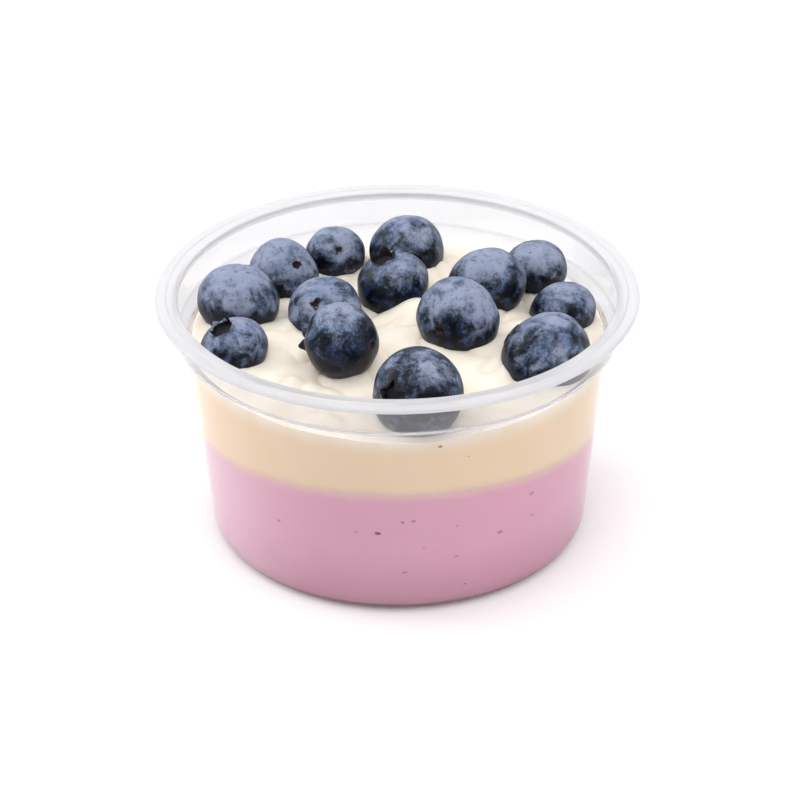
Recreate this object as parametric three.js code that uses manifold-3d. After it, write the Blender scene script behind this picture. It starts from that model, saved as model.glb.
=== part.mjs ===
// A chilled dessert in a clear plastic pot: a pink fruit layer, a spooned cream layer over it,
// and dark round berries pressed into the cream. Millimetres, +Z up, origin at the middle of the base.
import * as THREE from "three";
import { mergeVertices } from "three/addons/utils/BufferGeometryUtils.js";
import Module from "manifold-3d";

// The pot: radii are of the outer skin, heights are from the table.
const POT_HEIGHT = 51.3;
const RIM_RADIUS = 47.5;
const RIM_GROOVE_RADIUS = 45.3;
const RIM_MOUTH_RADIUS = 43.3;
const RIM_THICKNESS = 1.1;
const GROOVE_SIZE = 0.3;
const NECK_RADIUS = 43.9;
const NECK_DEPTH = 7.8;
const SHOULDER_RADIUS = 41.4;
const SHOULDER_DROP = 0.8;
const BASE_RADIUS = 37.65;
const BASE_CORNER = 3.5;
const WALL = 0.8;
const FLOOR = 0.9;

// The filling: clearances, the slanted line between the two layers, and the cream's level.
const GAP = 0.3;
const LAYER_LINE = 22.4;
const LAYER_SLANT = 0.14;
const CREAM_LEVEL = 41;

// Where the spoon left the cream higher (+) or lower (-) than its level, and how widely.
const SPOON_MARKS = [
  { name: "heap at the right", x: 15, y: -3, rise: 4, spread: 11 },
  { name: "heap behind", x: 6, y: 25, rise: 2, spread: 8 },
  { name: "heap at the left", x: -30, y: -6, rise: 1.5, spread: 10 },
  { name: "dip at the back wall", x: 0, y: 44, rise: -1.8, spread: 10 },
  { name: "dip in front of the left heap", x: -8, y: -20, rise: -0.9, spread: 9 },
  { name: "dip at the front wall", x: 3, y: -38, rise: -0.7, spread: 10 },
  { name: "lap against the middle berry", x: 4, y: 5, rise: 2.3, spread: 3.5 },
  { name: "fold at the left", x: -23, y: -1, rise: 0.4, spread: 3 },
  { name: "dip before the back berry", x: -11, y: 23, rise: -1, spread: 4 },
];

// Each berry: its middle, its width, its height over its width, and where its crown points, as a
// heading in degrees round +Z from +X and a lift in degrees over the level.
const BERRIES = [
  { middle: [-31.7, 7, 45.1], width: 16.5, squat: 0.88, heading: 250, lift: -65 },
  { middle: [-31.9, -10, 43.5], width: 13.5, squat: 0.88, heading: 212, lift: 66 },
  { middle: [-23.3, 20.6, 44], width: 14.5, squat: 0.88, heading: 127, lift: -40 },
  { middle: [-12.9, 30.5, 43], width: 12.5, squat: 0.92, heading: 99, lift: -37 },
  { middle: [2, 29.5, 44], width: 16, squat: 0.88, heading: 124, lift: -20 },
  { middle: [-1, 13.5, 45], width: 15, squat: 0.88, heading: 192, lift: 73 },
  { middle: [-14.5, 4.5, 43.5], width: 15, squat: 0.88, heading: 69, lift: -44 },
  { middle: [-10.7, -13, 46.6], width: 15, squat: 0.93, heading: 149, lift: -11 },
  { middle: [11.8, -5, 47.2], width: 16.6, squat: 0.88, heading: 59, lift: -6 },
  { middle: [18, 9.8, 47.2], width: 16, squat: 0.88, heading: 275, lift: -50 },
  { middle: [28.2, 19.9, 45.3], width: 13, squat: 0.88, heading: 260, lift: -52 },
  { middle: [32.9, 4.5, 43.5], width: 13.5, squat: 0.88, heading: 285, lift: -48 },
  { middle: [28.7, -13.5, 42.5], width: 19, squat: 0.88, heading: 148, lift: 16 },
  { middle: [3.8, -32, 46], width: 17.5, squat: 0.92, heading: 230, lift: 19 },
];

// A berry's crown and stem pit, as shares of its radius; the two edges are angles from its axis in radians.
const CROWN_LOBES = 5;
const CROWN_EDGE = 0.36;
const CROWN_HEIGHT = 0.1;
const CROWN_TIP_SHARE = 0.9;
const CROWN_CUP_SHARE = 0.6;
const CROWN_GAP_SHARE = 0.2;
const PIT_EDGE = 0.22;
const PIT_DEPTH = 0.05;

// The room left round each berry in the cream.
const POCKET_CLEARANCE = 0.6;

// How finely the round shapes are cut into facets.
const POT_SEGMENTS = 48;
const BERRY_SEGMENTS = 3 * CROWN_LOBES;
const BERRY_BANDS = 7;
const POCKET_SEGMENTS = 16;
const CREAM_RINGS = 5;
const CORNER_STEPS = 3;
const SETTLE_PASSES = 4;
const SAME_POINT = 1e-4;

const wasm = await Module();
wasm.setup();

const point = (radius, height) => new THREE.Vector2(radius, height);

// Points on a quarter round from straight down to straight out, for a corner at the pot's base.
function cornerArc(middleRadius, middleHeight, size) {
  return Array.from({ length: CORNER_STEPS + 1 }, (_, step) => {
    const angle = -Math.PI / 2 + (step / CORNER_STEPS) * (Math.PI / 2);
    return point(middleRadius + size * Math.cos(angle), middleHeight + size * Math.sin(angle));
  });
}

// A profile turned round +Z.
function turned(profile, segments) {
  return new THREE.LatheGeometry(profile, segments).rotateX(Math.PI / 2);
}

const shoulderHeight = POT_HEIGHT - NECK_DEPTH - SHOULDER_DROP;
const wallSlope = (SHOULDER_RADIUS - BASE_RADIUS) / shoulderHeight;
const wallInside = (height) => BASE_RADIUS - WALL + wallSlope * height;
const fillRadius = (height) => wallInside(height) - GAP;

// The pot: a tapered wall, a step where an empty pot below would stack, an upright neck and a flat rim.
function potGeometry() {
  const neckBottom = POT_HEIGHT - NECK_DEPTH;
  const rimBottom = POT_HEIGHT - RIM_THICKNESS;
  const edge = RIM_THICKNESS / 3;
  const outside = [
    point(0, 0),
    ...cornerArc(BASE_RADIUS - BASE_CORNER + wallSlope * BASE_CORNER, BASE_CORNER, BASE_CORNER),
    point(SHOULDER_RADIUS, shoulderHeight),
    point(NECK_RADIUS, neckBottom),
    point(NECK_RADIUS, rimBottom),
    point(RIM_RADIUS - edge, rimBottom),
    point(RIM_RADIUS, rimBottom + edge),
    point(RIM_RADIUS, POT_HEIGHT - edge),
    point(RIM_RADIUS - edge, POT_HEIGHT),
    point(RIM_GROOVE_RADIUS + GROOVE_SIZE, POT_HEIGHT),
    point(RIM_GROOVE_RADIUS, POT_HEIGHT - GROOVE_SIZE),
    point(RIM_GROOVE_RADIUS - GROOVE_SIZE, POT_HEIGHT),
    point(RIM_MOUTH_RADIUS, POT_HEIGHT),
  ];
  const neckInside = NECK_RADIUS - WALL;
  const innerCorner = FLOOR + BASE_CORNER;
  const inside = [
    point(neckInside, POT_HEIGHT - edge),
    point(neckInside, neckBottom),
    point(wallInside(shoulderHeight), shoulderHeight),
    ...cornerArc(wallInside(innerCorner) - BASE_CORNER, innerCorner, BASE_CORNER).reverse(),
    point(0, FLOOR),
  ];
  return turned([...outside, ...inside], POT_SEGMENTS);
}

// The slanted face between the layers, and the spooned top of the cream, as heights over the table.
const layerLine = (x, y) => LAYER_LINE - LAYER_SLANT * y;
const creamFoot = (x, y) => layerLine(x, y) + GAP;
const creamTop = (x, y) =>
  SPOON_MARKS.reduce((height, mark) => {
    const away = Math.hypot(x - mark.x, y - mark.y) / mark.spread;
    return height + mark.rise * Math.exp(-away * away / 2);
  }, CREAM_LEVEL);

// Moves the vertices that lie at one level onto an uneven surface, just inside the pot's wall.
function settle(geometry, level, surface) {
  const position = geometry.attributes.position;
  for (let i = 0; i < position.count; i++) {
    if (Math.abs(position.getZ(i) - level) > GAP / 2) continue;
    const angle = Math.atan2(position.getY(i), position.getX(i));
    const share = Math.hypot(position.getX(i), position.getY(i)) / fillRadius(level);
    let height = level;
    let radius = 0;
    for (let pass = 0; pass < SETTLE_PASSES; pass++) {
      radius = share * fillRadius(height);
      height = surface(radius * Math.cos(angle), radius * Math.sin(angle));
    }
    position.setXYZ(i, radius * Math.cos(angle), radius * Math.sin(angle), height);
  }
  return geometry;
}

// The pink layer stands on the pot's floor and ends at the slanted line.
function pinkGeometry() {
  const foot = FLOOR + GAP;
  const profile = [
    point(0, foot),
    ...cornerArc(fillRadius(foot + BASE_CORNER) - BASE_CORNER, foot + BASE_CORNER, BASE_CORNER),
    point(fillRadius(LAYER_LINE), LAYER_LINE),
    point(0, LAYER_LINE),
  ];
  return settle(turned(profile, POT_SEGMENTS), LAYER_LINE, layerLine);
}

// The cream before the berries are pressed in: its rings give the spooned top its heaps and dips.
function creamBlock() {
  const profile = [point(0, LAYER_LINE), point(fillRadius(LAYER_LINE), LAYER_LINE)];
  for (let ring = CREAM_RINGS; ring >= 0; ring--) {
    profile.push(point((fillRadius(CREAM_LEVEL) * ring) / CREAM_RINGS, CREAM_LEVEL));
  }
  const block = turned(profile, POT_SEGMENTS);
  settle(block, LAYER_LINE, creamFoot);
  return settle(block, CREAM_LEVEL, creamTop);
}

// A berry with its crown up: a squat ball, a five-pointed crown on top and a stem pit below.
function berryGeometry({ width, squat }) {
  const radius = width / 2;
  const profile = [point(0, -squat * Math.cos(PIT_EDGE) + PIT_DEPTH)];
  for (let band = 0; band <= BERRY_BANDS; band++) {
    const angle = THREE.MathUtils.lerp(PIT_EDGE, Math.PI - CROWN_EDGE, band / BERRY_BANDS);
    profile.push(point(Math.sin(angle), -squat * Math.cos(angle)));
  }
  const crownRadius = Math.sin(CROWN_EDGE);
  const crownFoot = squat * Math.cos(CROWN_EDGE);
  const crownTip = crownFoot + CROWN_HEIGHT;
  profile.push(point(CROWN_TIP_SHARE * crownRadius, crownTip));
  profile.push(point(CROWN_CUP_SHARE * crownRadius, crownFoot));
  profile.push(point(0, crownFoot - CROWN_HEIGHT / 2));
  const geometry = turned(profile, BERRY_SEGMENTS);
  const position = geometry.attributes.position;
  for (let i = 0; i < position.count; i++) {
    if (Math.abs(position.getZ(i) - crownTip) > SAME_POINT) continue;
    const lobe = (1 + Math.cos(CROWN_LOBES * Math.atan2(position.getY(i), position.getX(i)))) / 2;
    position.setZ(i, crownFoot + CROWN_HEIGHT * THREE.MathUtils.lerp(CROWN_GAP_SHARE, 1, lobe));
  }
  return geometry.scale(radius, radius, radius);
}

// Puts a berry, or the pocket that it leaves, at its place with its crown the right way.
function placeBerry(object, { middle, heading, lift }) {
  const along = new THREE.Vector3().setFromSphericalCoords(
    1,
    THREE.MathUtils.degToRad(90 - lift),
    THREE.MathUtils.degToRad(90 + heading),
  );
  const crown = new THREE.Vector3(along.x, -along.z, along.y);
  object.quaternion.setFromUnitVectors(new THREE.Vector3(0, 0, 1), crown);
  object.position.set(...middle);
  object.updateMatrixWorld(true);
  return object;
}

// A closed geometry as a solid, and a solid as a geometry.
function toSolid(geometry) {
  const bare = geometry.clone();
  bare.deleteAttribute("normal");
  bare.deleteAttribute("uv");
  const merged = mergeVertices(bare, SAME_POINT);
  const vertProperties = new Float32Array(merged.attributes.position.array);
  const triVerts = new Uint32Array(merged.index.array);
  return new wasm.Manifold(new wasm.Mesh({ numProp: 3, vertProperties, triVerts }));
}

function toGeometry(solid) {
  const mesh = solid.getMesh();
  const geometry = new THREE.BufferGeometry();
  geometry.setAttribute("position", new THREE.BufferAttribute(mesh.vertProperties, 3));
  geometry.setIndex(new THREE.BufferAttribute(mesh.triVerts, 1));
  geometry.computeVertexNormals();
  return geometry;
}

// The ball of room that a berry and its crown take up in the cream.
function pocketSolid(berry) {
  const radius = berry.width / 2;
  const side = radius + POCKET_CLEARANCE;
  const end = radius * (berry.squat + CROWN_HEIGHT) + POCKET_CLEARANCE;
  const ball = new THREE.SphereGeometry(1, POCKET_SEGMENTS, POCKET_SEGMENTS / 2).rotateX(Math.PI / 2);
  const pocket = placeBerry(new THREE.Mesh(ball.scale(side, side, end)), berry);
  return toSolid(ball.applyMatrix4(pocket.matrixWorld));
}

function creamGeometry() {
  const cream = BERRIES.reduce((solid, berry) => solid.subtract(pocketSolid(berry)), toSolid(creamBlock()));
  return toGeometry(cream);
}

function piece(name, geometry, look) {
  const mesh = new THREE.Mesh(geometry, new THREE.MeshStandardMaterial({ metalness: 0, ...look }));
  mesh.name = name;
  return mesh;
}

const dessert = new THREE.Group();
dessert.add(
  piece("pot", potGeometry(), { color: 0xf1f2f4, roughness: 0.2, transparent: true, opacity: 0.35 }),
  piece("pink_layer", pinkGeometry(), { color: 0xd2a3b8, roughness: 0.5 }),
  piece("cream_layer", creamGeometry(), { color: 0xf6e8d0, roughness: 0.55 }),
);
BERRIES.forEach((berry, index) => {
  const name = `berry_${String(index + 1).padStart(2, "0")}`;
  dessert.add(placeBerry(piece(name, berryGeometry(berry), { color: 0x3b4562, roughness: 0.6 }), berry));
});

export default dessert;
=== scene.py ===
# %% [markdown]
# # A layered dessert in a clear pot
# The object is a chilled dessert: a clear plastic pot, a pink fruit layer, a cream layer and dark berries.
# The plain solids of the frame give every piece its size and place. This lesson models each piece again
# with the detail that shows, and gives it a finish. We begin by loading the frame and keeping its box.

# %% Load the frame
import math
import random

import bmesh
import bpy
from mathutils import Matrix, Vector, noise


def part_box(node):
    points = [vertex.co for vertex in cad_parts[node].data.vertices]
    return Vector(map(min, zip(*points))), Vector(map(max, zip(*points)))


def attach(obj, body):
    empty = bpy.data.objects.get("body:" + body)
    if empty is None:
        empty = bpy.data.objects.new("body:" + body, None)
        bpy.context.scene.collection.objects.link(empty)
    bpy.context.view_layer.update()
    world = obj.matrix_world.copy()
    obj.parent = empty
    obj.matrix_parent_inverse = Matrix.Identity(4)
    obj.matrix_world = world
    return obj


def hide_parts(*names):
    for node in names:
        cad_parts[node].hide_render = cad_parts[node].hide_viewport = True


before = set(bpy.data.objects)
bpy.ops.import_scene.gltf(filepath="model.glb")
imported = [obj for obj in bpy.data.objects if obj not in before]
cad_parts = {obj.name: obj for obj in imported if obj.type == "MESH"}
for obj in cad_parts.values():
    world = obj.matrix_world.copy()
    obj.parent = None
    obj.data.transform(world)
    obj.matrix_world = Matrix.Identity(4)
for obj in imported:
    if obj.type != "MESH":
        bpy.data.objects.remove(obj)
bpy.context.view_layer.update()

MM = 0.001

# %% [markdown]
# ## The camera
# The photo was taken with a long lens from about thirty degrees above the table. A camera placed at those
# figures shows the rim as the same flat oval. The small roll copies the tilt of the picture. It could be
# tracked to an empty, but turning it with one quaternion keeps the scene free of constraints.

# %% Camera
CAMERA_AIM = Vector((0.37, 0, 26)) * MM
CAMERA_DISTANCE = 560 * MM
CAMERA_ELEVATION = math.radians(30.05)
CAMERA_ROLL = math.radians(0.4)
CAMERA_LENS = 125.6
SENSOR_WIDTH = 36

towards_camera = Vector((0, -math.cos(CAMERA_ELEVATION), math.sin(CAMERA_ELEVATION)))
bpy.ops.object.select_all(action="DESELECT")
bpy.ops.object.camera_add(location=CAMERA_AIM + towards_camera * CAMERA_DISTANCE)
camera = bpy.context.object
camera.rotation_mode = "QUATERNION"
level_view = (-towards_camera).to_track_quat("-Z", "Y")
camera.rotation_quaternion = level_view @ Matrix.Rotation(-CAMERA_ROLL, 3, "Z").to_quaternion()
camera.data.lens = CAMERA_LENS
camera.data.sensor_width = SENSOR_WIDTH
bpy.context.scene.camera = camera
print("camera at", [round(part, 3) for part in camera.location])

# %% [markdown]
# ## Writing shader sums in Python
# A finish is a tree of nodes, and most of its nodes only add and multiply. A small class that wraps a
# node's output lets us write those sums as Python expressions: each operator adds one Math node. All other
# nodes come from one method that takes the node's type, its settings and what goes into its sockets.

# %% The shader helpers
class Value:
    """A node's output that takes part in Python sums."""

    def __init__(self, finish, socket):
        self.finish = finish
        self.socket = socket

    def sum(self, operation, first, second):
        return self.finish.add("ShaderNodeMath", {"operation": operation}, {0: first, 1: second})

    def __add__(self, other):
        return self.sum("ADD", self, other)

    def __sub__(self, other):
        return self.sum("SUBTRACT", self, other)

    def __rsub__(self, other):
        return self.sum("SUBTRACT", other, self)

    def __mul__(self, other):
        return self.sum("MULTIPLY", self, other)

    def __truediv__(self, other):
        return self.sum("DIVIDE", self, other)

    __radd__ = __add__
    __rmul__ = __mul__


class Finish:
    """One material: a Principled surface with its constants, and a method that adds any node."""

    def __init__(self, name, **constants):
        self.material = bpy.data.materials.new(name)
        self.material.use_nodes = True
        self.tree = self.material.node_tree
        self.surface = self.tree.nodes["Principled BSDF"]
        for socket, constant in constants.items():
            self.surface.inputs[socket.replace("_", " ")].default_value = constant

    def feed(self, socket, value):
        if isinstance(value, Value):
            self.tree.links.new(value.socket, socket)
        else:
            socket.default_value = value

    def add(self, kind, settings=None, sockets=None, output=0):
        node = self.tree.nodes.new(kind)
        for name, setting in (settings or {}).items():
            setattr(node, name, setting)
        for name, value in (sockets or {}).items():
            self.feed(node.inputs[name], value)
        return Value(self, node.outputs[output])

    def set(self, **sockets):
        for name, value in sockets.items():
            self.feed(self.surface.inputs[name.replace("_", " ")], value)

    def place(self):
        return self.add("ShaderNodeTexCoord", output="Object")

    def axis(self, vector, letter):
        return self.add("ShaderNodeSeparateXYZ", sockets={0: vector}, output=letter)

    def noise(self, grain_mm, detail=3.0, roughness=0.5, warp=0.0):
        sockets = {"Vector": self.place(), "Scale": 1 / (grain_mm * MM), "Detail": detail}
        sockets.update({"Roughness": roughness, "Distortion": warp})
        return self.add("ShaderNodeTexNoise", sockets=sockets, output="Fac")

    def band(self, value, low, high):
        settings = {"interpolation_type": "SMOOTHSTEP"}
        sockets = {"Value": value, "From Min": low, "From Max": high}
        return self.add("ShaderNodeMapRange", settings, sockets, output="Result")

    def blend(self, mask, first, second):
        sockets = {0: mask, 6: first, 7: second}
        return self.add("ShaderNodeMix", {"data_type": "RGBA"}, sockets, output=2)

    def attribute(self, name):
        return self.add("ShaderNodeAttribute", {"attribute_name": name}, output="Fac")

    def bump(self, height, depth_mm, strength):
        sockets = {"Height": height, "Distance": depth_mm * MM, "Strength": strength}
        return self.add("ShaderNodeBump", sockets=sockets)


def srgb(red, green, blue):
    """A colour as a picture editor shows it, turned into the linear numbers that sockets take."""
    def linear(part):
        part /= 255
        return part / 12.92 if part <= 0.04045 else ((part + 0.055) / 1.055) ** 2.4
    return (linear(red), linear(green), linear(blue), 1.0)


print("shader helpers ready")

# %% [markdown]
# ## The floor and the light
# The photo was taken in a bright light tent: white table, white surroundings, hardly any shadow. A very
# large soft box hangs overhead, a lamp stands on each side, and an even world fills the rest. The left lamp
# is the stronger one, which gives the faint shadow at the right. One strong lamp would draw a dark shadow.

# %% Floor, lamps and world
FLOOR_HALF = 3.0
SOFT_BOX = {"place": (0, -0.18, 1.0), "size": 1.6, "power": 9.0}
LEFT_LAMP = {"place": (-0.6, 0.22, 0.42), "size": 0.45, "power": 1.8}
RIGHT_LAMP = {"place": (0.65, -0.1, 0.34), "size": 0.5, "power": 0.7}
WORLD_STRENGTH = 0.72

bpy.ops.object.select_all(action="DESELECT")
bpy.ops.mesh.primitive_plane_add(size=2 * FLOOR_HALF)
floor = bpy.context.object
floor.name = "floor"
paper = Finish("white_table", Roughness=0.6, Specular_IOR_Level=0.2)
paper.set(Base_Color=paper.blend(paper.noise(60, detail=1), srgb(250, 250, 250), srgb(252, 252, 252)))
floor.data.materials.append(paper.material)


def hang_lamp(place, size, power):
    bpy.ops.object.light_add(type="AREA", location=place)
    lamp = bpy.context.object
    lamp.data.energy = power
    lamp.data.size = size
    lamp.rotation_mode = "QUATERNION"
    lamp.rotation_quaternion = (CAMERA_AIM - Vector(place)).to_track_quat("-Z", "Y")


hang_lamp(**SOFT_BOX)
hang_lamp(**LEFT_LAMP)
hang_lamp(**RIGHT_LAMP)
world = bpy.data.worlds.new("studio")
world.use_nodes = True
world.node_tree.nodes["Background"].inputs["Color"].default_value = (1, 1, 1, 1)
world.node_tree.nodes["Background"].inputs["Strength"].default_value = WORLD_STRENGTH
bpy.context.scene.world = world
bpy.context.scene.view_settings.view_transform = "Standard"
print("soft box power", SOFT_BOX["power"], "world", WORLD_STRENGTH)

# %% [markdown]
# ## Turning round pieces
# The pot and both layers are round, so all three start as a disc whose edge is extruded and resized ring by
# ring along a profile, as one would do by hand with E and S. A screw modifier or a spin would also do, but
# rings leave an even grid that can be reshaped afterwards.

# %% The ring modeller
ROUND_SIDES = 192
SHARP_EDGE = math.radians(40)


def start_fresh():
    """Back in object mode with nothing selected."""
    if bpy.context.object and bpy.context.object.mode != "OBJECT":
        bpy.ops.object.mode_set(mode="OBJECT")
    bpy.ops.object.select_all(action="DESELECT")


def turn_profile(name, profile):
    """A closed round piece whose rings follow (radius, height) pairs in millimetres."""
    start_fresh()
    (radius, height), *later = profile
    bpy.ops.mesh.primitive_circle_add(
        vertices=ROUND_SIDES, radius=radius * MM, fill_type="NGON", location=(0, 0, height * MM)
    )
    piece = bpy.context.object
    piece.name = piece.data.name = name
    bpy.ops.object.mode_set(mode="EDIT")
    bpy.ops.mesh.select_mode(type="EDGE")
    bpy.ops.mesh.select_all(action="SELECT")
    for next_radius, next_height in later:
        rise = (0, 0, (next_height - height) * MM)
        bpy.ops.mesh.extrude_edges_move(TRANSFORM_OT_translate={"value": rise})
        grow = next_radius / radius
        bpy.ops.transform.resize(value=(grow, grow, 1), center_override=(0, 0, next_height * MM))
        radius, height = next_radius, next_height
    bpy.ops.mesh.edge_face_add()
    bpy.ops.mesh.select_all(action="SELECT")
    bpy.ops.mesh.normals_make_consistent(inside=False)
    bpy.ops.object.mode_set(mode="OBJECT")
    bpy.ops.object.transform_apply(location=True, rotation=True, scale=True)
    return piece


def arc(middle, radius, start, stop, steps):
    """Points on a round stretch of a profile, from one angle to another in degrees."""
    angles = [math.radians(start + (stop - start) * step / steps) for step in range(steps + 1)]
    return [(middle[0] + radius * math.cos(a), middle[1] + radius * math.sin(a)) for a in angles]


def hand_in(piece, finish, slot, *nodes):
    """Gives a piece its finish, lets it ride on the pot's body and hides the frame's nodes that are given.
    """
    piece.data.materials.clear()
    piece.data.materials.append(finish.material)
    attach(piece, "root")
    if nodes:
        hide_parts(*nodes)
    print(piece.name, "has", len(piece.data.polygons), "faces")


print("round pieces get", ROUND_SIDES, "sides")

# %% [markdown]
# ## The pot
# The real pot is thin moulded plastic. Its wall widens upwards to a small step, on which a stacked pot
# would rest, then goes straight up to a flat rim. The rim's width and the height come from the frame. The
# other sizes are the frame's too, and are written here because its solids don't name them.

# %% The pot's sizes
rim_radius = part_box("pot")[1].x / MM
pot_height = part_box("pot")[1].z / MM
GROOVE_RADIUS = 45.3
RIM_THICKNESS = 1.1
NECK_RADIUS = 43.9
NECK_DEPTH = 7.8
SHOULDER_RADIUS = 41.4
SHOULDER_DROP = 0.8
BASE_RADIUS = 37.65
BASE_CORNER = 3.5
WALL = 0.8
FLOOR_THICKNESS = 0.9

shoulder_height = pot_height - NECK_DEPTH - SHOULDER_DROP
wall_slope = (SHOULDER_RADIUS - BASE_RADIUS) / shoulder_height


def wall_outside(height):
    return BASE_RADIUS + wall_slope * height


def wall_inside(height):
    return wall_outside(height) - WALL


print("the wall leans", round(math.degrees(math.atan(wall_slope)), 1), "degrees")

# %% [markdown]
# ### Turning the pot
# One line runs from the base up the outer skin, over the rim and down the inner skin, so both skins of the
# wall are turned together. A solidify modifier on a single skin would also do, but the rim is thicker than
# the wall and has a groove on one side only. Its edges and that groove catch the light, so each corner of
# the line is a small arc and not a sharp point.

# %% Model the pot
BEND = 0.45
STEP_BEND = 0.8
STEP_TILT = 72
GROOVE = 0.2
GROOVE_EDGE = 0.2 * GROOVE
CORNER_STEPS = 8
STEP_STEPS = 6
UNDER_RIM_STEPS = 4
MOUTH_STEPS = 5


def pot_profile():
    step_head = pot_height - NECK_DEPTH + STEP_BEND
    step_foot = shoulder_height - STEP_BEND
    shoulder_inside = wall_inside(shoulder_height)
    under_rim = pot_height - RIM_THICKNESS
    half = RIM_THICKNESS / 2
    neck_inside = NECK_RADIUS - WALL
    corner = wall_outside(BASE_CORNER) - BASE_CORNER
    inner_foot = FLOOR_THICKNESS + BASE_CORNER
    inner_corner = wall_inside(inner_foot) - BASE_CORNER
    return [
        *arc((corner, BASE_CORNER), BASE_CORNER, -90, 0, CORNER_STEPS),
        (wall_outside(shoulder_height / 2), shoulder_height / 2),
        *arc((SHOULDER_RADIUS + STEP_BEND, step_foot), STEP_BEND, 180, 180 - STEP_TILT, STEP_STEPS),
        *arc((NECK_RADIUS - STEP_BEND, step_head), STEP_BEND, -STEP_TILT, 0, STEP_STEPS),
        *arc((NECK_RADIUS + BEND, under_rim - BEND), BEND, 180, 90, UNDER_RIM_STEPS),
        *arc((rim_radius - half, pot_height - half), half, -90, 90, CORNER_STEPS),
        (GROOVE_RADIUS + 2 * GROOVE, pot_height),
        (GROOVE_RADIUS + GROOVE, pot_height - GROOVE_EDGE),
        (GROOVE_RADIUS, pot_height - GROOVE),
        (GROOVE_RADIUS - GROOVE, pot_height - GROOVE_EDGE),
        (GROOVE_RADIUS - 2 * GROOVE, pot_height),
        *arc((neck_inside + BEND, pot_height - BEND), BEND, 90, 180, MOUTH_STEPS),
        *arc((neck_inside - STEP_BEND, step_head), STEP_BEND, 0, -STEP_TILT, STEP_STEPS),
        *arc((shoulder_inside + STEP_BEND, step_foot), STEP_BEND, 180 - STEP_TILT, 180, STEP_STEPS),
        (wall_inside(shoulder_height / 2), shoulder_height / 2),
        *arc((inner_corner, inner_foot), BASE_CORNER, 0, -90, CORNER_STEPS),
    ]


pot = turn_profile("clear_pot", pot_profile())
bpy.ops.object.shade_smooth_by_angle(angle=SHARP_EDGE)
print("pot:", len(pot.data.vertices), "vertices, rim", round(2 * rim_radius, 1), "mm across")

# %% [markdown]
# ### Clear, slightly milky plastic
# Food pots are not as clear as glass: a little white haze hangs in the wall, so the berry behind it looks
# greyer. A transmission weight just under one leaves that share as white diffuse. The wall is tinted
# clearer where the filling lies behind it and a little greyer above it: painted light, so that the filling
# behind the wall shows brighter. The rim and the step are thicker and milkier, so a second surface is mixed
# in there. Shadow rays pass straight through, because light must reach the filling without chance paths.

# %% The clear plastic
FREE_WALL_FADE = (-0.5, 0.7)
RIM_FADE = (-1.9, -1.0)
STEP_FADE_IN = (-1.0, -0.2)
STEP_FADE_OUT = (2.0, 1.0)
RIM_MILKINESS = 0.78
STEP_MILKINESS = 0.4
SHADOW_CLEARNESS = 0.98
SHADOW_TINT = (0.97, 0.97, 0.975, 1)
plastic = Finish("clear_milky_plastic", IOR=1.32, Transmission_Weight=0.92)
height = plastic.axis(plastic.place(), "Z") / MM
haze = plastic.noise(9, detail=2)


def pot_band(level, fade):
    """From none to all between two heights, which are counted from a level of the pot."""
    return plastic.band(height, level + fade[0], level + fade[1])


# Painted light: the wall over the filling is tinted clearer than the free wall, so the filling behind it
# shows brighter.
filled_tint = plastic.blend(haze, srgb(247, 246, 249), srgb(250, 250, 252))
free_tint = plastic.blend(haze, srgb(230, 229, 231), srgb(236, 235, 237))
free_wall = pot_band(shoulder_height, FREE_WALL_FADE)
plastic.set(Base_Color=plastic.blend(free_wall, filled_tint, free_tint), Roughness=0.04 + 0.03 * haze)
milky = plastic.add("ShaderNodeBsdfPrincipled", sockets={
    "Base Color": plastic.blend(haze, srgb(219, 218, 221), srgb(226, 225, 228)),
    "Roughness": 0.25 + 0.1 * haze,
    "IOR": 1.4,
    "Transmission Weight": 0.35,
})
rim = pot_band(pot_height, RIM_FADE)
step = pot_band(shoulder_height, STEP_FADE_IN) * pot_band(shoulder_height, STEP_FADE_OUT)
clear = Value(plastic, plastic.surface.outputs[0])
milkiness = RIM_MILKINESS * rim + STEP_MILKINESS * step
body = plastic.add("ShaderNodeMixShader", sockets={0: milkiness, 1: clear, 2: milky})
shadow_ray = plastic.add("ShaderNodeLightPath", output="Is Shadow Ray")
see_through = plastic.add("ShaderNodeBsdfTransparent", sockets={"Color": SHADOW_TINT})
let_through = shadow_ray * SHADOW_CLEARNESS
mixed = plastic.add("ShaderNodeMixShader", sockets={0: let_through, 1: body, 2: see_through})
plastic.feed(plastic.tree.nodes["Material Output"].inputs["Surface"], mixed)
hand_in(pot, plastic, "clear_plastic", "pot")

# %% [markdown]
# ## The pink layer
# The fruit layer stands on the floor of the pot and ends at a slanted, slightly wavy line, because the pot
# was tilted while it set. It is a turned block whose upper rings are moved onto that line. The block bites
# a little into the wall, so no film of air shows between plastic and filling.

# %% Model the pink layer
BITE = 0.25
LAYER_LINE = 22.4
LAYER_SLANT = 0.14
LAYER_WAVE = 0.35
LAYER_WAVE_LENGTH = 14.0
SIDE_STEPS = 16
PINK_CORNER_STEPS = 6
WALL_PASSES = 5
SAME_HEIGHT = 0.01
pink_foot = FLOOR_THICKNESS - BITE


def layer_line(x, y):
    """The height of the line between pink and cream over a point of the base, in millimetres."""
    wave = noise.noise(Vector((x, y, 0)) / LAYER_WAVE_LENGTH)
    return LAYER_LINE - LAYER_SLANT * y + LAYER_WAVE * wave


def fill_radius(height):
    return wall_inside(height) + BITE


def reshape(piece, place):
    """Moves each vertex of a piece to where a function of its place in millimetres says."""
    for vertex in piece.data.vertices:
        vertex.co = Vector(place(*(vertex.co / MM))) * MM


def at_wall(angle, surface):
    """The height at which an uneven surface meets the wall, found in a few passes."""
    height = surface(0, 0)
    for _ in range(WALL_PASSES):
        radius = fill_radius(height)
        height = surface(radius * math.cos(angle), radius * math.sin(angle))
    return height


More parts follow.
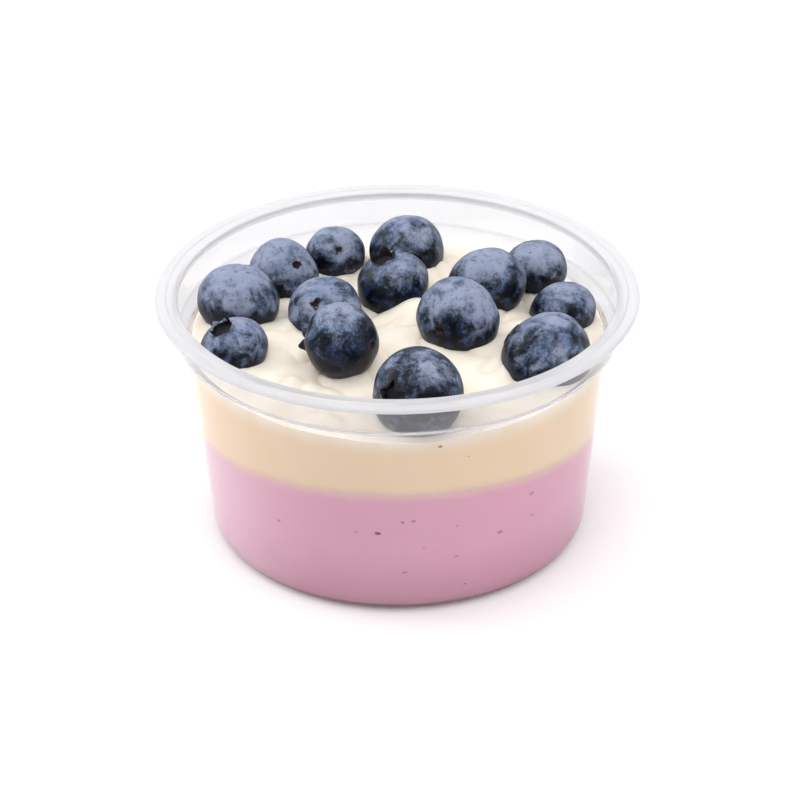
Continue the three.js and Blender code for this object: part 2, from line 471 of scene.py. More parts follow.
pink_corner = pink_foot + BASE_CORNER
pink_profile = [
    *arc((fill_radius(pink_corner) - BASE_CORNER, pink_corner), BASE_CORNER, -90, 0, PINK_CORNER_STEPS),
    *[
        (fill_radius(LAYER_LINE), pink_corner + (LAYER_LINE - pink_corner) * step / SIDE_STEPS)
        for step in range(1, SIDE_STEPS + 1)
    ],
]


def pink_place(x, y, z):
    if z <= pink_corner + SAME_HEIGHT:
        return x, y, z
    angle = math.atan2(y, x)
    share = (z - pink_corner) / (LAYER_LINE - pink_corner)
    height = pink_corner + share * (at_wall(angle, layer_line) - pink_corner)
    radius = fill_radius(height)
    return radius * math.cos(angle), radius * math.sin(angle), height


pink = turn_profile("pink_filling", pink_profile)
reshape(pink, pink_place)
bpy.ops.object.shade_smooth_by_angle(angle=SHARP_EDGE)
print("pink layer stands", round(max(v.co.z for v in pink.data.vertices) / MM, 1), "mm high")

# %% [markdown]
# ### Pink mousse
# Through the wall the layer is a dusty pink. It is darker towards the base, which is painted shade, and a
# dark maroon line along its foot is a painted shadow of the pot's base edge. Its left side is painted
# paler, a painted reflection of the bright surroundings in the wall, and cream has smeared into its upper
# edge. The height over the slanted line is one sum of coordinates, so the smear is a band of that sum with
# some noise added.

# %% The pink finish
SMEAR_COLOR = srgb(234, 194, 186)
SMEAR_REACH = 1.6
SMEAR_PAST_LINE = 0.1
SMEAR_WAVER = 1.6
SMEAR_SHARE = 0.9
FOOT_SHADE_TOP = 16.0
FOOT_SHADE_SHARE = 0.7
PAINTED_REFLECTION_SIDE = (-14, -34)
PAINTED_REFLECTION_WAVER = 14
PAINTED_REFLECTION_SHARE = 0.55
FOOT_SHADOW_COLOR = srgb(128, 14, 42)
FOOT_SHADOW_EDGE = (2.1, 1.5)
FOOT_SHADOW_SHARE = 0.9
mousse = Finish("pink_mousse", Specular_IOR_Level=0.3)
spot = mousse.place()
over_line = (mousse.axis(spot, "Z") + LAYER_SLANT * mousse.axis(spot, "Y")) / MM - LAYER_LINE
wavering = over_line + SMEAR_WAVER * (mousse.noise(7, detail=4, warp=0.6) - 0.5)
smear = mousse.band(wavering, -SMEAR_REACH, SMEAR_PAST_LINE)
# Painted shade: the pink darkens towards the base.
foot_shade = mousse.band(mousse.axis(spot, "Z") / MM, FOOT_SHADE_TOP, 0.0)
body = mousse.blend(mousse.noise(5, detail=4), srgb(223, 160, 186), srgb(227, 166, 190))
body = mousse.blend(foot_shade * FOOT_SHADE_SHARE, body, srgb(196, 127, 154))
# Painted reflection: the left side is painted paler, standing in for bright surroundings mirrored in the
# wall.
painted_reflection_place = mousse.axis(spot, "X") / MM + PAINTED_REFLECTION_WAVER * (mousse.noise(16, detail=2) - 0.5)
body = mousse.blend(PAINTED_REFLECTION_SHARE * mousse.band(painted_reflection_place, *PAINTED_REFLECTION_SIDE), body, srgb(234, 198, 211))
# Painted shadow: a dark maroon line along the foot stands in for the shade under the pot's base edge.
painted_foot_shadow = mousse.band(mousse.axis(spot, "Z") / MM, *FOOT_SHADOW_EDGE)
body = mousse.blend(FOOT_SHADOW_SHARE * painted_foot_shadow, body, FOOT_SHADOW_COLOR)
mousse.set(Base_Color=mousse.blend(smear * SMEAR_SHARE, body, SMEAR_COLOR))
mousse.set(Roughness=0.4 + 0.15 * mousse.noise(4, detail=2))
hand_in(pink, mousse, "pink_mousse", "pink_layer")

# %% [markdown]
# ## Where the berries lie
# Fourteen berries are pressed into the cream. Their places are settled before the cream is shaped, because
# the cream rises against each of them. Every row gives a berry's middle, its width, its height over its
# width, and where its crown points: a heading round the pot and a lift over the level, in degrees.

# %% The berries' places
BERRIES = {
    "berry_01": ((-31.7, 7, 45.1), 16.5, 0.88, 250, -65),
    "berry_02": ((-31.9, -10, 43.5), 13.5, 0.88, 212, 66),
    "berry_03": ((-23.3, 20.6, 44), 14.5, 0.88, 127, -40),
    "berry_04": ((-12.9, 30.5, 43), 12.5, 0.92, 99, -37),
    "berry_05": ((2, 29.5, 44), 16, 0.88, 124, -20),
    "berry_06": ((-1, 13.5, 45), 15, 0.88, 192, 73),
    "berry_07": ((-14.5, 4.5, 43.5), 15, 0.88, 69, -44),
    "berry_08": ((-10.7, -13, 46.6), 15, 0.93, 149, -11),
    "berry_09": ((11.8, -5, 47.2), 16.6, 0.88, 59, -6),
    "berry_10": ((18, 9.8, 47.2), 16, 0.88, 275, -50),
    "berry_11": ((28.2, 19.9, 45.3), 13, 0.88, 260, -52),
    "berry_12": ((32.9, 4.5, 43.5), 13.5, 0.88, 285, -48),
    "berry_13": ((28.7, -13.5, 42.5), 19, 0.88, 148, 16),
    "berry_14": ((3.8, -32, 46), 17.5, 0.92, 230, 19),
}
print("berries:", len(BERRIES))

# %% [markdown]
# ## The cream
# The cream was spooned in: it has broad heaps and dips, soft strokes on them, and a small lip where it
# touches a berry. Sculpting would give that too, but heights worked out from named marks can be changed one
# by one. Each mark has a place, a rise and a spread.

# %% The spooned heights
CREAM_LEVEL = 41.0
SPOON_MARKS = {
    "heap at the right": (15, -3, 4.0, 11),
    "heap behind": (6, 25, 2.0, 8),
    "heap at the left": (-30, -6, 1.5, 10),
    "dip at the back wall": (0, 44, -1.8, 10),
    "dip in front of the left heap": (-8, -20, -0.9, 9),
    "dip at the front wall": (3, -38, -0.7, 10),
    "lap against the middle berry": (4, 5, 2.3, 3.5),
    "fold at the left": (-23, -1, 0.4, 3),
    "dip before the back berry": (-11, 23, -1, 4),
}


def spooned_level(x, y):
    height = CREAM_LEVEL
    for mark_x, mark_y, rise, spread in SPOON_MARKS.values():
        away = math.hypot(x - mark_x, y - mark_y) / spread
        height += rise * math.exp(-away * away / 2)
    return height


print("heaps in the middle reach", round(spooned_level(0, 0), 1), "mm")

# %% [markdown]
# ### Strokes, folds and lips
# On the heaps lie soft strokes, creases where one spoonful folds over another, and small ripples. Noise
# makes all three, squeezed one way and moved sideways by a slower noise, so that they wander as a spoon
# does. They calm down near the wall, where the cream was pressed flat.

# %% The cream's top
STROKE_LENGTH = 7.0
STROKE_DEPTH = 0.8
STROKE_SQUEEZE = 0.7
STROKE_SEED = 4
FOLD_LENGTH = 6.0
FOLD_DEPTH = 1.7
FOLD_LEVEL = 0.35
FOLD_SQUEEZE = (0.8, 1.1)
FOLD_SEED = 2
CREASE_SOFTNESS = 0.02
RIPPLE_LENGTH = 2.6
RIPPLE_DEPTH = 0.26
RIPPLE_SQUEEZE = 0.6
RIPPLE_SEED = 9
CALM_RADIUS = 41.0
CALM_WIDTH = 7.0
WALL_RELIEF = 0.25
LIP_HEIGHT = 0.55
LIP_WIDTH = 0.9
FURROW_DEPTH = 0.15
FURROW_PLACE = 2.6
FURROW_WIDTH = 1.3
SWAY = 2.0
SWAY_LENGTH = 11.0
SWAY_SEED = Vector((7, 3, 1))


def berry_lip(x, y, height):
    """How much the cream stands up against the nearest berries, or sinks just beside them."""
    lip = 0.0
    for (bx, by, bz), width, squat, _, _ in BERRIES.values():
        radius = width / 2 * (1 + squat) / 2
        sunk = radius * radius - (bz - height) ** 2
        if sunk > 0:
            away = math.hypot(x - bx, y - by) - math.sqrt(sunk)
            lip += LIP_HEIGHT * math.exp(-abs(away) / LIP_WIDTH)
            lip -= FURROW_DEPTH * math.exp(-(((away - FURROW_PLACE) / FURROW_WIDTH) ** 2))
    return lip


def sway(x, y):
    """How far the strokes wander sideways at a point."""
    return SWAY * noise.noise(Vector((x, y, 0)) / SWAY_LENGTH + SWAY_SEED)


def fold(x, y):
    """Zero in a crease between two spoonfuls, more on their rounded backs."""
    shift = sway(x, y)
    across = x * FOLD_SQUEEZE[0] - shift
    along = y * FOLD_SQUEEZE[1] + 2 * shift
    return abs(noise.noise(Vector((across, along, FOLD_SEED)) / FOLD_LENGTH))


def cream_top(x, y):
    shift = sway(x, y)
    stroke_place = Vector((x + 2 * shift, y * STROKE_SQUEEZE - shift, STROKE_SEED))
    stroke = noise.noise(stroke_place / STROKE_LENGTH)
    ripple = noise.noise(Vector((x + shift, y * RIPPLE_SQUEEZE, RIPPLE_SEED)) / RIPPLE_LENGTH)
    bumps = STROKE_DEPTH * stroke + RIPPLE_DEPTH * ripple
    bumps += FOLD_DEPTH * (math.sqrt(fold(x, y) + CREASE_SOFTNESS) - FOLD_LEVEL)
    from_wall = (CALM_RADIUS - math.hypot(x, y)) / CALM_WIDTH
    calm = min(1, max(WALL_RELIEF, from_wall))
    height = spooned_level(x, y) + calm * bumps
    return height + berry_lip(x, y, height)


print("cream in the middle stands at", round(cream_top(0, 0), 1), "mm")

# %% [markdown]
# ### Turning the cream
# The block is turned like the pink layer, with many narrow rings across its top. Its side is then fitted
# between the slanted line and the edge of the top, and the rings are lifted to the heights worked out
# above. Each vertex also notes how deep in a crease it lies, because the finish paints shade into the
# creases.

# %% Model the cream
CREAM_RINGS = 84
CREASE_SHADE_WIDTH = 0.1
SIDE_SHARE = 0.9999
CREAM_SHARP_EDGE = math.radians(50)
cream_profile = [
    *[
        (fill_radius(CREAM_LEVEL), LAYER_LINE + (CREAM_LEVEL - LAYER_LINE) * step / SIDE_STEPS)
        for step in range(SIDE_STEPS + 1)
    ],
    *[
        (fill_radius(CREAM_LEVEL) * (1 - ring / CREAM_RINGS), CREAM_LEVEL)
        for ring in range(1, CREAM_RINGS)
    ],
]


def cream_place(x, y, z):
    angle = math.atan2(y, x)
    share = math.hypot(x, y) / fill_radius(CREAM_LEVEL)
    edge = at_wall(angle, cream_top)
    if share < SIDE_SHARE:
        radius = share * fill_radius(edge)
        x, y = radius * math.cos(angle), radius * math.sin(angle)
        return x, y, cream_top(x, y)
    foot = at_wall(angle, layer_line)
    height = foot + (z - LAYER_LINE) / (CREAM_LEVEL - LAYER_LINE) * (edge - foot)
    return fill_radius(height) * math.cos(angle), fill_radius(height) * math.sin(angle), height


cream = turn_profile("spooned_cream", cream_profile)
reshape(cream, cream_place)
bpy.ops.object.shade_smooth_by_angle(angle=CREAM_SHARP_EDGE)
# The crease depth drives painted shade in the cream's finish.
crease_shade = cream.data.attributes.new("crease_shade", "FLOAT", "POINT")
for vertex in cream.data.vertices:
    crease_shade.data[vertex.index].value = max(0, 1 - fold(vertex.co.x / MM, vertex.co.y / MM) / CREASE_SHADE_WIDTH)
print("cream reaches", round(max(v.co.z for v in cream.data.vertices) / MM, 1), "mm")

# %% [markdown]
# ### Cream
# The open top is a warm ivory, with painted shade in the creases. Behind the wall the same cream is painted
# tan: partly because it lies wet against the plastic, and partly as painted shade, because it gets no light
# from above. The distance from the pot's axis tells wall from top, so that distance mixes the two colours.

# %% The cream finish
BEHIND_WALL_FADE = (0.05, 0.22)
BELOW_TOP_FADE = (41.5, 37.0)
CREASE_SHADE_SHARE = 0.5
dairy = Finish(
    "spooned_cream",
    Specular_IOR_Level=0.35,
    Subsurface_Weight=0.35,
    Subsurface_Scale=0.003,
    Subsurface_Radius=(1, 0.85, 0.7),
)
spot = dairy.place()
flat = dairy.add("ShaderNodeVectorMath", {"operation": "MULTIPLY"}, {0: spot, 1: (1, 1, 0)})
from_axis = dairy.add("ShaderNodeVectorMath", {"operation": "LENGTH"}, {0: flat}, output="Value") / MM
wall_here = BASE_RADIUS - WALL + wall_slope * dairy.axis(spot, "Z") / MM
behind_wall = dairy.band(from_axis - wall_here, *BEHIND_WALL_FADE)
below_top = dairy.band(dairy.axis(spot, "Z") / MM, *BELOW_TOP_FADE)
ivory = dairy.blend(dairy.noise(6, detail=4), srgb(243, 231, 215), srgb(246, 237, 224))
# Painted shade: the creases get a darker, warmer cream.
ivory = dairy.blend(CREASE_SHADE_SHARE * dairy.attribute("crease_shade"), ivory, srgb(236, 218, 192))
# Painted shade, partly wet cream: the side behind the wall gets a darker tan than the lit top.
wet_tan_and_painted_shade = dairy.blend(dairy.noise(8, detail=3), srgb(239, 213, 177), srgb(242, 217, 184))
over_line = (dairy.axis(spot, "Z") + LAYER_SLANT * dairy.axis(spot, "Y")) / MM - LAYER_LINE
wavering = over_line + SMEAR_WAVER * (dairy.noise(7, detail=4, warp=0.6) - 0.5)
smear = dairy.band(wavering, SMEAR_REACH, -SMEAR_PAST_LINE)
wet_tan_and_painted_shade = dairy.blend(smear * SMEAR_SHARE, wet_tan_and_painted_shade, SMEAR_COLOR)
dairy.set(Base_Color=dairy.blend(behind_wall * below_top, ivory, wet_tan_and_painted_shade))
dairy.set(Roughness=0.42 + 0.2 * dairy.noise(3, detail=3))
grain = dairy.noise(1.2, detail=5, roughness=0.6) * (1 - behind_wall)
dairy.set(Normal=dairy.bump(grain, 0.12, 0.5))
hand_in(cream, dairy, "cream", "cream_layer")

# %% [markdown]
# ## The berries
# A berry is a squat ball with two marks: a five-pointed crown where the flower was, and a small pit where
# the stem broke off. Both are shaped from a ball in edit mode. Two helpers make that short: one selects
# faces by where they lie, the other writes down how deep in the crown a vertex is, for the finish.

# %% Picking faces and taking notes
ON_RIM_OUTSIDE, ON_RIM_INSIDE, ON_CUP_EDGE, ON_CUP_FLOOR = 0.25, 0.5, 0.75, 1.0


def pick(piece, wanted):
    """In edit mode, selects the faces that a test on their middle says, and nothing else."""
    mesh = bmesh.from_edit_mesh(piece.data)
    for face in mesh.faces:
        face.select_set(False)
    for face in mesh.faces:
        if wanted(face.calc_center_median()):
            face.select_set(True)
    bmesh.update_edit_mesh(piece.data)


def note_crown(piece, amount, inner_amount=None):
    """Writes a depth on the selected vertices, and another on those with only selected faces round them."""
    mesh = bmesh.from_edit_mesh(piece.data)
    layer = mesh.verts.layers.float.get("crown") or mesh.verts.layers.float.new("crown")
    for vertex in mesh.verts:
        if vertex.select:
            inner = all(face.select for face in vertex.link_faces)
            vertex[layer] = inner_amount if inner and inner_amount is not None else amount
    bmesh.update_edit_mesh(piece.data)


print("crown notes run from", ON_RIM_OUTSIDE, "on the rim to", ON_CUP_FLOOR, "in the cup")

# %% [markdown]
# ### The cup and the pit
# One berry is modelled from a UV sphere: the top cap is inset, pulled up into a wall, inset again and
# pushed down, which leaves a cup with a thin rim. A boolean could cut the cup too, but insets keep the
# faces even. Each vertex also notes how near the crown and the stem are, for the cracks and the scar.

# %% Model the crown's cup and the stem pit
BERRY_SEGMENTS = 60
BERRY_RINGS = 36
CROWN_EDGE = 0.38
CROWN_FOOT = 0.03
CROWN_THICKNESS = 0.045
CROWN_WALL = 0.05
CUP_DEPTH = 0.13
CUP_TAPER = (0.9, 0.9, 0.3)
CRACKS_END = 0.7
CRACKS_FADE = 0.3
PIT_EDGE = 0.1
PIT_DEPTH = 0.06
STEM_REACH = 0.3


def ball_with_cup():
    start_fresh()
    bpy.ops.mesh.primitive_uv_sphere_add(segments=BERRY_SEGMENTS, ring_count=BERRY_RINGS, radius=1)
    berry = bpy.context.object
    bpy.ops.object.mode_set(mode="EDIT")
    bpy.ops.mesh.select_mode(type="FACE")
    pick(berry, lambda middle: middle.z < 0 and math.hypot(middle.x, middle.y) < PIT_EDGE)
    bpy.ops.mesh.inset(thickness=CROWN_FOOT)
    bpy.ops.transform.translate(value=(0, 0, PIT_DEPTH))
    pick(berry, lambda middle: middle.z > 0 and math.hypot(middle.x, middle.y) < CROWN_EDGE)
    bpy.ops.mesh.inset(thickness=CROWN_FOOT)
    bpy.ops.mesh.extrude_region_move(TRANSFORM_OT_translate={"value": (0, 0, CROWN_WALL)})
    note_crown(berry, ON_RIM_OUTSIDE)
    bpy.ops.mesh.inset(thickness=CROWN_THICKNESS)
    note_crown(berry, ON_RIM_INSIDE)
    bpy.ops.mesh.extrude_region_move(TRANSFORM_OT_translate={"value": (0, 0, -CROWN_WALL - CUP_DEPTH)})
    bpy.ops.transform.resize(value=CUP_TAPER)
    note_crown(berry, ON_CUP_EDGE, ON_CUP_FLOOR)
    bpy.ops.object.mode_set(mode="OBJECT")
    berry.data.attributes.new("near_crown", "FLOAT", "POINT")
    berry.data.attributes.new("stem", "FLOAT", "POINT")
    near = berry.data.attributes["near_crown"]
    stem = berry.data.attributes["stem"]
    for vertex in berry.data.vertices:
        away = vertex.co.xy.length
        if vertex.co.z > 0:
            near.data[vertex.index].value = min(1, max(0, (CRACKS_END - away) / CRACKS_FADE))
        else:
            stem.data[vertex.index].value = max(0, 1 - away / STEM_REACH)
    return berry


plain_berry = ball_with_cup()
print("berry with cup:", len(plain_berry.data.polygons), "faces")

# %% [markdown]
# ### Two kinds of crown
# On some berries the five points of the crown stand up and spread, on others they lie folded over the cup
# and leave a star-shaped hole. Both come from the same cup: only the rim's vertices are moved, up and out
# or in. Insets number their vertices anew in each run, so the random draws go round the rim by place. A
# subdivision then rounds everything.

# %% Shape the crowns
CROWN_LOBES = 5
STANDING = {"rise": 0.21, "spread": 0.3, "gap_spread": 0.02, "cracks": 0.1}
FOLDED = {"rise": 0.03, "spread": -0.5, "gap_spread": 0.36, "cracks": 0.8}
LOBE_JITTER = 0.18
LOBE_ROUNDNESS = 0.7
LOBE_SIZES = (0.7, 1.15)
HALF_SEGMENT = math.pi / BERRY_SEGMENTS
rng = random.Random(14)
lobe_sizes = [rng.uniform(*LOBE_SIZES) for _ in range(CROWN_LOBES)]


def crown_lobe(angle):
    """How far the crown's rim is in a lobe at an angle round it, from 0 in a gap to about 1 at a tip."""
    turn = (angle / (2 * math.pi) * CROWN_LOBES) % CROWN_LOBES
    tip = 1 - abs(2 * (turn % 1) - 1)
    return lobe_sizes[int(turn) % CROWN_LOBES] * tip ** LOBE_ROUNDNESS * rng.uniform(1 - LOBE_JITTER, 1)


def place_on_rim(vertex):
    """A vertex's turn round the crown and its distance from the middle, rounded so that they sort alike."""
    turn = (math.atan2(vertex.co.y, vertex.co.x) + HALF_SEGMENT) % (2 * math.pi)
    return round(turn, 3), round(vertex.co.xy.length, 3)


def crowned_berry(rise, spread, gap_spread, cracks):
    start_fresh()
    berry = plain_berry.copy()
    berry.data = plain_berry.data.copy()
    bpy.context.collection.objects.link(berry)
    berry.select_set(True)
    bpy.context.view_layer.objects.active = berry
    depth = berry.data.attributes["crown"]
    near = berry.data.attributes["near_crown"]
    rim = []
    for vertex in berry.data.vertices:
        near.data[vertex.index].value *= cracks
        if ON_RIM_OUTSIDE <= depth.data[vertex.index].value <= ON_RIM_INSIDE:
            rim.append(vertex)
    for vertex in sorted(rim, key=place_on_rim):
        lobe = crown_lobe(math.atan2(vertex.co.y, vertex.co.x))
        vertex.co.xy *= 1 + spread * lobe + gap_spread * (1 - lobe)
        vertex.co.z += rise * lobe - CROWN_WALL * (1 - lobe)
    rounder = berry.modifiers.new("rounder", "SUBSURF")
    rounder.levels = rounder.render_levels = 1
    bpy.ops.object.modifier_apply(modifier=rounder.name)
    bpy.ops.object.shade_smooth()
    return berry


standing_berry = crowned_berry(**STANDING)
folded_berry = crowned_berry(**FOLDED)
bpy.data.objects.remove(plain_berry)
print("each berry has", len(standing_berry.data.polygons), "faces")

# %% [markdown]
# ### Skin and bloom
# The skin is nearly black. What looks blue is a thin waxy bloom, rubbed away in patches. Three noises of
# different grain and the height on the berry make its thickness, and where it is thick the skin is paler
# and duller. The height's share is partly bloom rubbed off below and partly painted light: it makes the top
# paler, as if lit from above, and the underside darker as painted shade, and it turns the top greyer as a
# painted sheen. Mottles and freckles break it up. A photo of a berry's skin could be wrapped round instead,
# but noise has no seam and gives each berry blotches of its own.

# %% The bloom
BROAD_WEIGHT = 1.7
BLOTCH_WEIGHT = 1.5
FINE_WEIGHT = 0.7
BLOOM_AND_LIGHT_BY_HEIGHT = 1.6
EVEN_HEIGHT = 0.72
BLOOM_FADE = (-0.3, 0.5)
PAINTED_SHEEN_BY_HEIGHT = 0.5
GREY_FADE = (0.65, 1.05)
MOTTLE_FADE = (0.5, 0.7)
MOTTLE_SHARE = 0.5
RUBBED_FADE = (0.42, 0.75)
FRECKLE_FADE = (0.62, 0.72)
FRECKLE_SHARE = 0.55
skin = Finish("berry_skin", Specular_IOR_Level=0.2)
broad = skin.noise(6.5, detail=2, warp=0.5)
blotch = skin.noise(2.4, detail=4, roughness=0.55, warp=0.6)
fine = skin.noise(0.5, detail=3, roughness=0.7)
up = skin.attribute("height")
cover = BROAD_WEIGHT * (broad - 0.5) + BLOTCH_WEIGHT * (blotch - 0.5) + FINE_WEIGHT * (fine - 0.5)
# Painted light and bloom: the height term paints the top paler and the underside darker, on top of the
# bloom's own patches.
bloom_and_painted_top_light = skin.band(cover + BLOOM_AND_LIGHT_BY_HEIGHT * (up - EVEN_HEIGHT), *BLOOM_FADE)
blue = skin.blend(fine, srgb(78, 103, 143), srgb(106, 131, 167))
grey_bloom_and_sheen = skin.blend(blotch, srgb(113, 124, 150), srgb(157, 164, 186))
# Painted sheen: the bloom turns greyer towards the top, on top of the grey bloom that the broad noise
# scatters.
bloom = skin.blend(skin.band(broad + PAINTED_SHEEN_BY_HEIGHT * up, *GREY_FADE), blue, grey_bloom_and_sheen)
mottle = skin.band(skin.noise(1.5, detail=4, roughness=0.6), *MOTTLE_FADE)
bloom = skin.blend(MOTTLE_SHARE * mottle, bloom, srgb(56, 70, 100))
rubbed = skin.band(blotch + 0.5 * (fine - 0.5), *RUBBED_FADE)
dark = skin.blend(rubbed, srgb(3, 7, 17), srgb(34, 49, 80))
color = skin.blend(bloom_and_painted_top_light, dark, bloom)
freckles = skin.band(skin.noise(0.8, detail=2), *FRECKLE_FADE)
color = skin.blend(freckles * FRECKLE_SHARE, color, srgb(16, 18, 28))
print("bloom takes", len(skin.tree.nodes), "nodes")

# %% [markdown]
# ### Crown, cracks and stem scar
# The crown's rim is dark, and the inside of its cup is darker: partly dry, dark calyx and partly painted
# shade in the recess. A little dust on the cup's floor makes that paler again. Fine cracks run out from the
# crown. They lie where a noise crosses its middle, so the square of its distance from there draws thin
# lines. The scar of the stem is a brown ring round a black pit.

# %% The berries' marks
CRACK_FADE = (0.0012, 0.0002)
CROWN_RIM_FADE = (0.1, ON_RIM_OUTSIDE)
CUP_FADE = (0.3, ON_RIM_INSIDE)
CUP_FLOOR_FADE = (0.8, ON_CUP_FLOOR)
SCAR_WAVER = 1.3
SCAR_FADE = (0.45, 0.65)
SCAR_PIT_FADE = (0.6, 0.75)
crown = skin.attribute("crown")
crack_line = skin.noise(2.2, detail=3, warp=0.4) - 0.5
cracks = skin.band(crack_line * crack_line, *CRACK_FADE) * skin.attribute("near_crown")
color = skin.blend(cracks, color, srgb(9, 10, 15))
color = skin.blend(skin.band(crown, *CROWN_RIM_FADE), color, srgb(26, 28, 38))
# Partly painted shade: the cup's inside is painted near black, as in a recess.
color = skin.blend(skin.band(crown, *CUP_FADE), color, srgb(10, 9, 13))
color = skin.blend(skin.band(crown, *CUP_FLOOR_FADE), color, srgb(30, 29, 36))
stem = skin.attribute("stem") + SCAR_WAVER * (skin.noise(1.2, detail=3) - 0.5)
color = skin.blend(skin.band(stem, *SCAR_FADE), color, srgb(50, 38, 40))
color = skin.blend(skin.band(stem, *SCAR_PIT_FADE), color, srgb(8, 6, 8))
skin.set(Base_Color=color, Roughness=0.34 + 0.28 * bloom_and_painted_top_light)
skin.set(Normal=skin.bump(0.6 * blotch + 0.4 * fine, 0.08, 0.5))
print("berry finish has", len(skin.tree.nodes), "nodes")

# %% [markdown]
# ### How the berries differ
# Three berries show a standing crown. In the photo some berries are pale all over and others are dark
# below, partly rubbed and partly in shade, which noise alone can't decide. So a table says how fast a
# berry's bloom, with its painted light from above, thins downwards, and how much more or less of it there
# is.

# %% The berries' crowns and bloom
STANDING_CROWNS = {"berry_02", "berry_06", "berry_08"}
BLOOM = {
    "berry_01": (1.5, 0.04),
    "berry_03": (0.8, 0.16),
    "berry_04": (1.0, 0.02),
    "berry_05": (1.0, -0.02),
    "berry_06": (1.3, -0.11),
    "berry_07": (0.6, 0.22),
    "berry_08": (1.3, -0.2),
    "berry_13": (1.3, -0.18),
    "berry_14": (0.25, 0.1),
}
EVEN_BLOOM = (1.0, 0.05)
print("berries with a bloom of their own:", len(BLOOM))

# %% [markdown]
# ### Copying the berry
# Each copy has its own mesh. It is scaled to its width and squatness, turned so that its crown points the
# right way, put in its place and made uneven by a cloud-driven displace, so that no two are alike.

# %% Place the berries
DENT_SIZE = 7.0
DENT_DEPTH = 0.9
dents = bpy.data.textures.new("berry_dents", "CLOUDS")
dents.noise_scale = DENT_SIZE * MM
dents.noise_depth = 1


def place_berry(name, middle, width, squat, heading, lift):
    start_fresh()
    model = standing_berry if name in STANDING_CROWNS else folded_berry
    berry = model.copy()
    berry.data = model.data.copy()
    berry.name = berry.data.name = name.replace("berry", "topping_berry")
    bpy.context.collection.objects.link(berry)
    crown_way = Vector((
        math.cos(math.radians(lift)) * math.cos(math.radians(heading)),
        math.cos(math.radians(lift)) * math.sin(math.radians(heading)),
        math.sin(math.radians(lift)),
    ))
    radius = width / 2 * MM
    turn = crown_way.to_track_quat("Z", "Y").to_matrix().to_4x4()
    spin = Matrix.Rotation(rng.uniform(0, 2 * math.pi), 4, "Z")
    size = Matrix.Diagonal((radius, radius, radius * squat, 1))
    berry.matrix_world = Matrix.Translation(Vector(middle) * MM) @ turn @ spin @ size
    berry.select_set(True)
    bpy.context.view_layer.objects.active = berry
    bpy.ops.object.transform_apply(location=True, rotation=True, scale=True)
    uneven = berry.modifiers.new("uneven", "DISPLACE")
    uneven.texture = dents
    uneven.texture_coords = "LOCAL"
    uneven.strength = DENT_DEPTH * MM
    bpy.ops.object.modifier_apply(modifier=uneven.name)
    # The height noted here drives the bloom and also the painted light on top and painted shade below.
    heights = berry.data.attributes.new("height", "FLOAT", "POINT")
    fall, more = BLOOM.get(name, EVEN_BLOOM)
    for index, vertex in enumerate(berry.data.vertices):
        heights.data[index].value = 0.5 + more + fall * (vertex.co.z / MM - middle[2]) / width
    return berry


for name, facts in BERRIES.items():
    hand_in(place_berry(name, *facts), skin, "berry_skin", name)
bpy.data.objects.remove(standing_berry)
bpy.data.objects.remove(folded_berry)

# %% [markdown]
# ## Specks of fruit
# Small dark bits of berry lie against the wall in the pink layer, and two brown flecks in the cream. They
# are tiny lumps set into the outer face of the filling. Those that the photo shows are listed as an angle
# round the pot, a height, a size and a strength, because most of them show only faintly. The rest of the
# wall gets a few more at random.

# %% The specks' places
SEEN_SPECKS = [
    (-96, 19.2, 0.62, 1.0), (-89, 21.9, 0.4, 0.55), (-86, 22.1, 0.38, 0.3), (-102, 19.1, 0.34, 0.3),
    (-126.5, 17.5, 0.42, 0.2), (-83, 15.5, 0.3, 0.25), (-60, 16, 0.5, 0.3), (-49.5, 22.4, 0.45, 0.3),
    (-48.5, 17, 0.36, 0.35), (-73.5, 12.6, 0.34, 0.3), (-88.5, 9.9, 0.44, 0.4), (-70.5, 5.5, 0.42, 0.6),
    (-73.5, 20, 0.3, 0.2), (-79, 39.1, 0.5, 0.5), (-71, 35.9, 0.22, 0.5),
]
HIDDEN_SPECKS = 26
HIDDEN_ANGLES = (-20, 200)
HIDDEN_HEIGHTS = (4, 16)
HIDDEN_SIZES = (0.25, 0.55)
HIDDEN_STRENGTH = 0.35
all_specks = list(SEEN_SPECKS)
for _ in range(HIDDEN_SPECKS):
    place = (rng.uniform(*HIDDEN_ANGLES), rng.uniform(*HIDDEN_HEIGHTS), rng.uniform(*HIDDEN_SIZES))
    all_specks.append((*place, HIDDEN_STRENGTH))
print("specks:", len(all_specks))

# %% [markdown]
# ### Modelling the specks
# Each speck is a small ico sphere, flattened against the wall and made uneven by noise, with its strength
# noted on its vertices. Particles could scatter them, but then the ones that the photo shows would not lie
# in their places. A noise that gives vectors starts at the clock, so it gets a seed and every run makes the
# same lumps. All are joined into one piece.

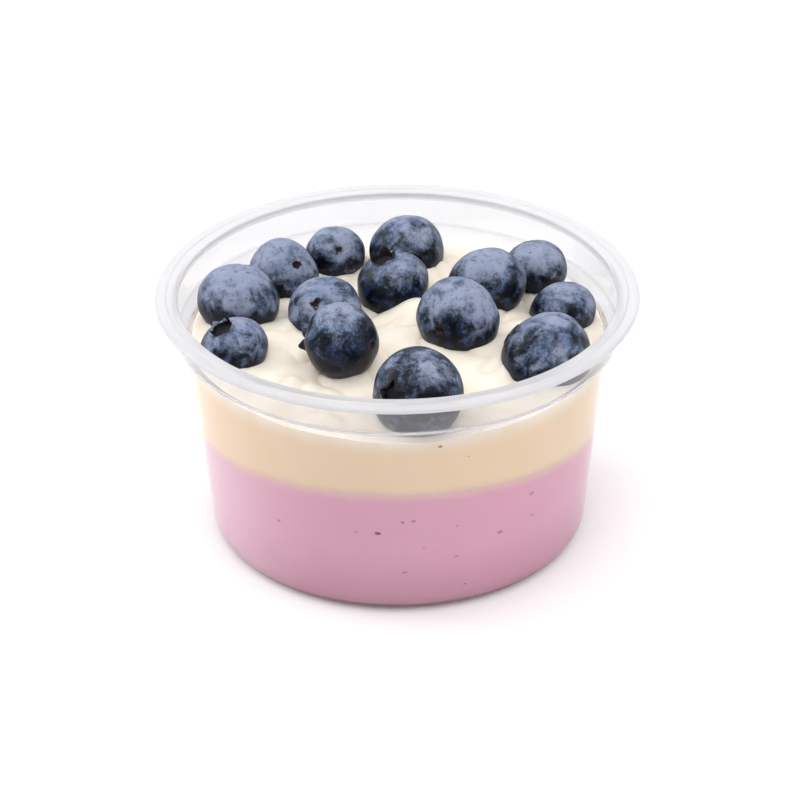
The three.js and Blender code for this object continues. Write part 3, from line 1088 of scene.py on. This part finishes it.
# %% Model the specks
SPECK_FLATNESS = 0.3
SPECK_LENGTHS = (0.8, 1.4)
SPECK_HEIGHTS = (0.5, 0.9)
SPECK_ROUGHNESS = 0.25
SPECK_GRAIN = 0.5
SPECK_SEED = 14
noise.seed_set(SPECK_SEED)


def model_speck(angle, height, size, strength):
    start_fresh()
    turn = math.radians(angle)
    radius = fill_radius(height) * MM
    where = Vector((radius * math.cos(turn), radius * math.sin(turn), height * MM))
    bpy.ops.mesh.primitive_ico_sphere_add(subdivisions=2, radius=size * MM, location=where)
    speck = bpy.context.object
    speck.rotation_euler.z = turn
    speck.scale = (SPECK_FLATNESS, rng.uniform(*SPECK_LENGTHS), rng.uniform(*SPECK_HEIGHTS))
    bpy.ops.object.transform_apply(location=True, rotation=True, scale=True)
    strengths = speck.data.attributes.new("strength", "FLOAT", "POINT")
    for vertex in speck.data.vertices:
        vertex.co += SPECK_ROUGHNESS * size * MM * noise.noise_vector(vertex.co / (SPECK_GRAIN * MM))
        strengths.data[vertex.index].value = strength
    return speck


specks = [model_speck(*facts) for facts in all_specks]
start_fresh()
for speck in specks:
    speck.select_set(True)
bpy.context.view_layer.objects.active = specks[0]
bpy.ops.object.join()
fruit_specks = bpy.context.object
fruit_specks.name = fruit_specks.data.name = "fruit_specks"
bpy.ops.object.shade_smooth()
print("specks joined into", fruit_specks.name)

# %% [markdown]
# ### Fruit
# A strong speck is dark berry skin that lies right at the wall. A faint one lies a little deeper and is
# almost as pink as the mousse round it, so the strength blends the two. Those in the cream are brown.

# %% The speck finish
CREAM_BEGINS = (28, 30)
STRENGTH_WAVER = 0.3
flecks = Finish("fruit_flecks", Roughness=0.5)
strong = flecks.attribute("strength") + STRENGTH_WAVER * (flecks.noise(0.8, detail=2) - 0.5)
purple = flecks.blend(strong, srgb(206, 140, 166), srgb(92, 34, 56))
in_cream = flecks.band(flecks.axis(flecks.place(), "Z") / MM, *CREAM_BEGINS)
flecks.set(Base_Color=flecks.blend(in_cream, purple, srgb(176, 128, 84)))
hand_in(fruit_specks, flecks, "pink_mousse")
